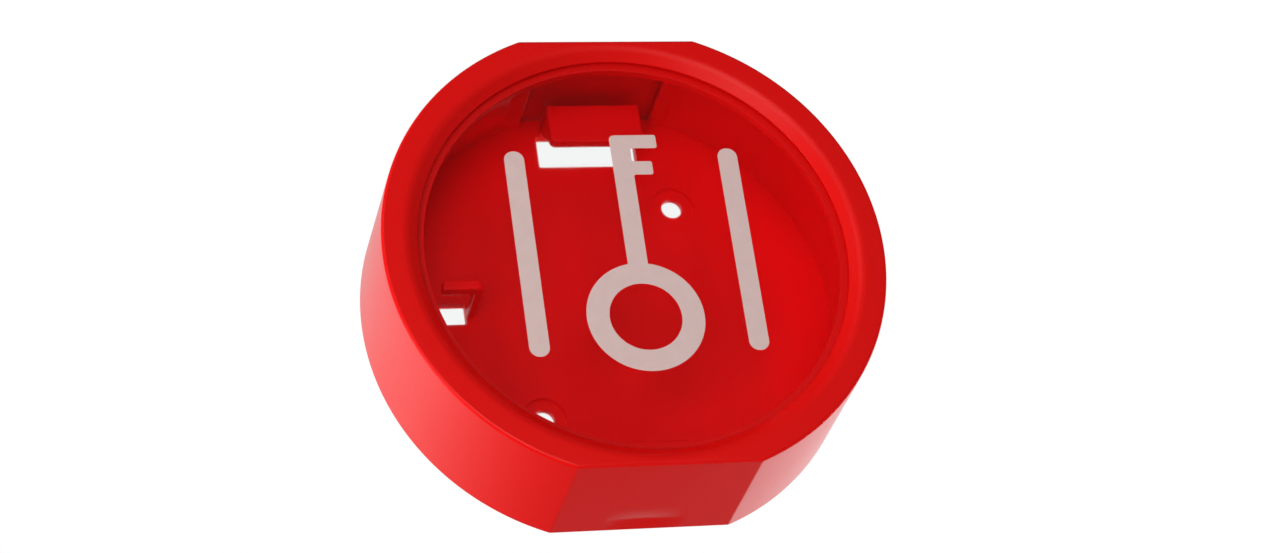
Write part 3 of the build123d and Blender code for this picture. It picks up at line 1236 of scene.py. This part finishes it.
    def build_hook(self) -> None:
        """Make the key hook: a post out of the floor and a finger that points up."""
        low, top = self.box.wall - self.box.root, self.hook_height
        post, post_top, tip = self.hook_post, self.hook_post + self.hook_post_thickness, self.hook_tip
        finger = top - self.hook_finger
        corners = [(low, post), (top, post), (top, tip), (finger, tip), (finger, post_top), (low, post_top)]
        outline = rounded_polygon(corners, self.hook_corners)
        hook = prism("key_hook", outline[:, ::-1], -self.hook_half, self.hook_half, "zh")
        self.put(bevelled(hook, self.hook_round))


# ---- stage, lamps and camera ---------------------------------------------------------------------


@dataclass
class Studio:
    """Pale floor, soft lamps, a white world and the camera, which is placed in millimetres."""

    object_low: float
    camera_at: tuple = (-321.57, -630.15, 170.67)
    camera_right: tuple = (-0.13589, -0.20468, -0.96935)
    camera_up: tuple = (0.88153, -0.47151, -0.02402)
    lens: float = 84.706
    sensor: float = 36.0
    near_clip: float = 0.01
    floor_size: float = 2.2
    floor_drop: float = 0.90
    floor_start: float = 0.45
    floor_grey: float = 0.80
    floor_glow: float = 1.2
    floor_share: float = 0.82
    ambient: float = 0.16
    front_gloss: float = 0.030
    back_gloss: float = 0.84
    gloss_rise: tuple = (0.1, 0.8)
    side_span: tuple = (-0.43, 0.05)
    side_gloss: tuple = (0.02, 0.85)

    def build(self) -> None:
        """Put everything round the object."""
        self.build_floor()
        self.build_world()
        self.build_lamps()
        self.build_camera()

    @staticmethod
    def seen(tree: bpy.types.NodeTree) -> tuple:
        """Tell what the camera sees, directly or through the pane, from what only lights the box.

        Args:
            tree: Tree that gets the nodes.

        Returns:
            The light path node and an output that is 1 for what the camera sees.
        """
        path = add_node(tree, "ShaderNodeLightPath")
        seen = maths(tree, "MAXIMUM", path.outputs["Is Camera Ray"], path.outputs["Is Transmission Ray"])
        return path, seen

    def build_floor(self) -> None:
        """Lay a pale floor well below the hanging box; it looks white and keeps the box's shadow."""
        half, low = self.floor_size / 2, self.object_low - self.floor_drop
        mesh = bpy.data.meshes.new("stage_floor")
        near, far = self.floor_start, self.floor_start + self.floor_size
        corners = [(-half, near, low), (half, near, low), (half, far, low), (-half, far, low)]
        mesh.from_pydata(corners, [], [(0, 1, 2, 3)])
        floor = new_object("stage_floor", mesh)
        material, tree, shader = new_material("stage_white")
        tree.nodes.remove(shader)
        path, seen = self.seen(tree)
        either = maths(tree, "MAXIMUM", seen, path.outputs["Is Glossy Ray"])
        share = maths(tree, "MULTIPLY", either, self.floor_share)
        matt = add_node(tree, "ShaderNodeBsdfDiffuse", {"Color": (*[self.floor_grey] * 3, 1.0)})
        white = {"Color": (1.0, 1.0, 1.0, 1.0), "Strength": self.floor_glow}
        glow = add_node(tree, "ShaderNodeEmission", white)
        mix = add_node(tree, "ShaderNodeMixShader", {0: share, 1: matt.outputs[0], 2: glow.outputs[0]})
        tree.links.new(mix.outputs[0], tree.nodes["Material Output"].inputs["Surface"])
        mesh.materials.append(material)

    def build_world(self) -> None:
        """Light everything softly: white where seen, and in gloss brighter behind the box than in front."""
        world = bpy.data.worlds.new("studio")
        bpy.context.scene.world = world
        world.use_nodes = True
        tree = world.node_tree
        background = tree.nodes["Background"]
        direction = add_node(tree, "ShaderNodeTexCoord").outputs["Generated"]
        parts = add_node(tree, "ShaderNodeSeparateXYZ", {0: direction})
        behind = mapped(tree, parts.outputs["Y"], self.gloss_rise, (self.front_gloss, self.back_gloss))
        sideways = mapped(tree, parts.outputs["X"], self.side_span, self.side_gloss)
        path, seen = self.seen(tree)
        gloss = maths(tree, "MULTIPLY", behind, sideways)
        shine = blended(tree, Blend.NUMBERS, path.outputs["Is Glossy Ray"], self.ambient, gloss)
        tree.links.new(blended(tree, Blend.NUMBERS, seen, shine, 1.0), background.inputs["Strength"])
        background.inputs["Color"].default_value = (1.0, 1.0, 1.0, 1.0)

    def build_lamps(self) -> None:
        """Hang the key lamp in front, strong ones above and below the box, weaker ones to its sides."""
        self.lamp("key_lamp", (-0.38, -0.93, 0.44), 0.6, 3.8)
        self.lamp("front_lamp", (-0.05, -1.05, 0.10), 0.5, 2.5)
        self.lamp("right_lamp", (0.50, -0.75, 0.50), 0.4, 1.2)
        self.lamp("top_lamp", (-0.20, -0.15, 0.96), 0.5, 6.3)
        self.lamp("back_lamp", (-0.20, 0.25, 0.96), 0.5, 2.7)
        self.lamp("left_lamp", (-0.90, 0.30, -0.10), 0.5, 2.0)
        self.lamp("low_lamp", (-0.22, 0.22, -0.95), 0.5, 7.0)

    def lamp(self, name: str, at: tuple, size: float, watts: float) -> None:
        """Hang one square lamp that faces the box and shows neither in its gloss nor through its pane.

        Args:
            name: Name of the lamp.
            at: Its place in metres.
            size: Length of its side in metres.
            watts: Its power.
        """
        data = bpy.data.lights.new(name, "AREA")
        data.shape, data.size, data.energy = "SQUARE", size, watts
        lamp = new_object(name, data)
        lamp.location = at
        lamp.visible_glossy = lamp.visible_transmission = False
        lamp.rotation_euler = Vector(at).to_track_quat("Z", "Y").to_euler()

    def build_camera(self) -> None:
        """Place the camera by its position and its right and up directions."""
        data = bpy.data.cameras.new("camera")
        data.lens, data.sensor_width, data.sensor_fit = self.lens, self.sensor, "HORIZONTAL"
        data.clip_start = self.near_clip
        camera = new_object("camera", data)
        right, up = Vector(self.camera_right).normalized(), Vector(self.camera_up).normalized()
        back = right.cross(up)
        turn = Matrix((right, up, back)).transposed().to_4x4()
        camera.matrix_world = Matrix.Translation(Vector(self.camera_at) * MM) @ turn
        bpy.context.scene.camera = camera


def main() -> None:
    """Build the box and its studio, and report each piece."""
    logging.basicConfig(level=logging.INFO, format="%(name)s: %(message)s")
    bpy.context.scene.view_settings.view_transform = "Standard"
    box = BoxSizes.from_frame()
    shop = Workshop()
    FrontCover(box, shop).build()
    WindowPane(box, shop).build()
    BackTray(box, shop).build()
    Studio(object_low=cad_low.z).build()


if __name__ == "__main__":
    main()
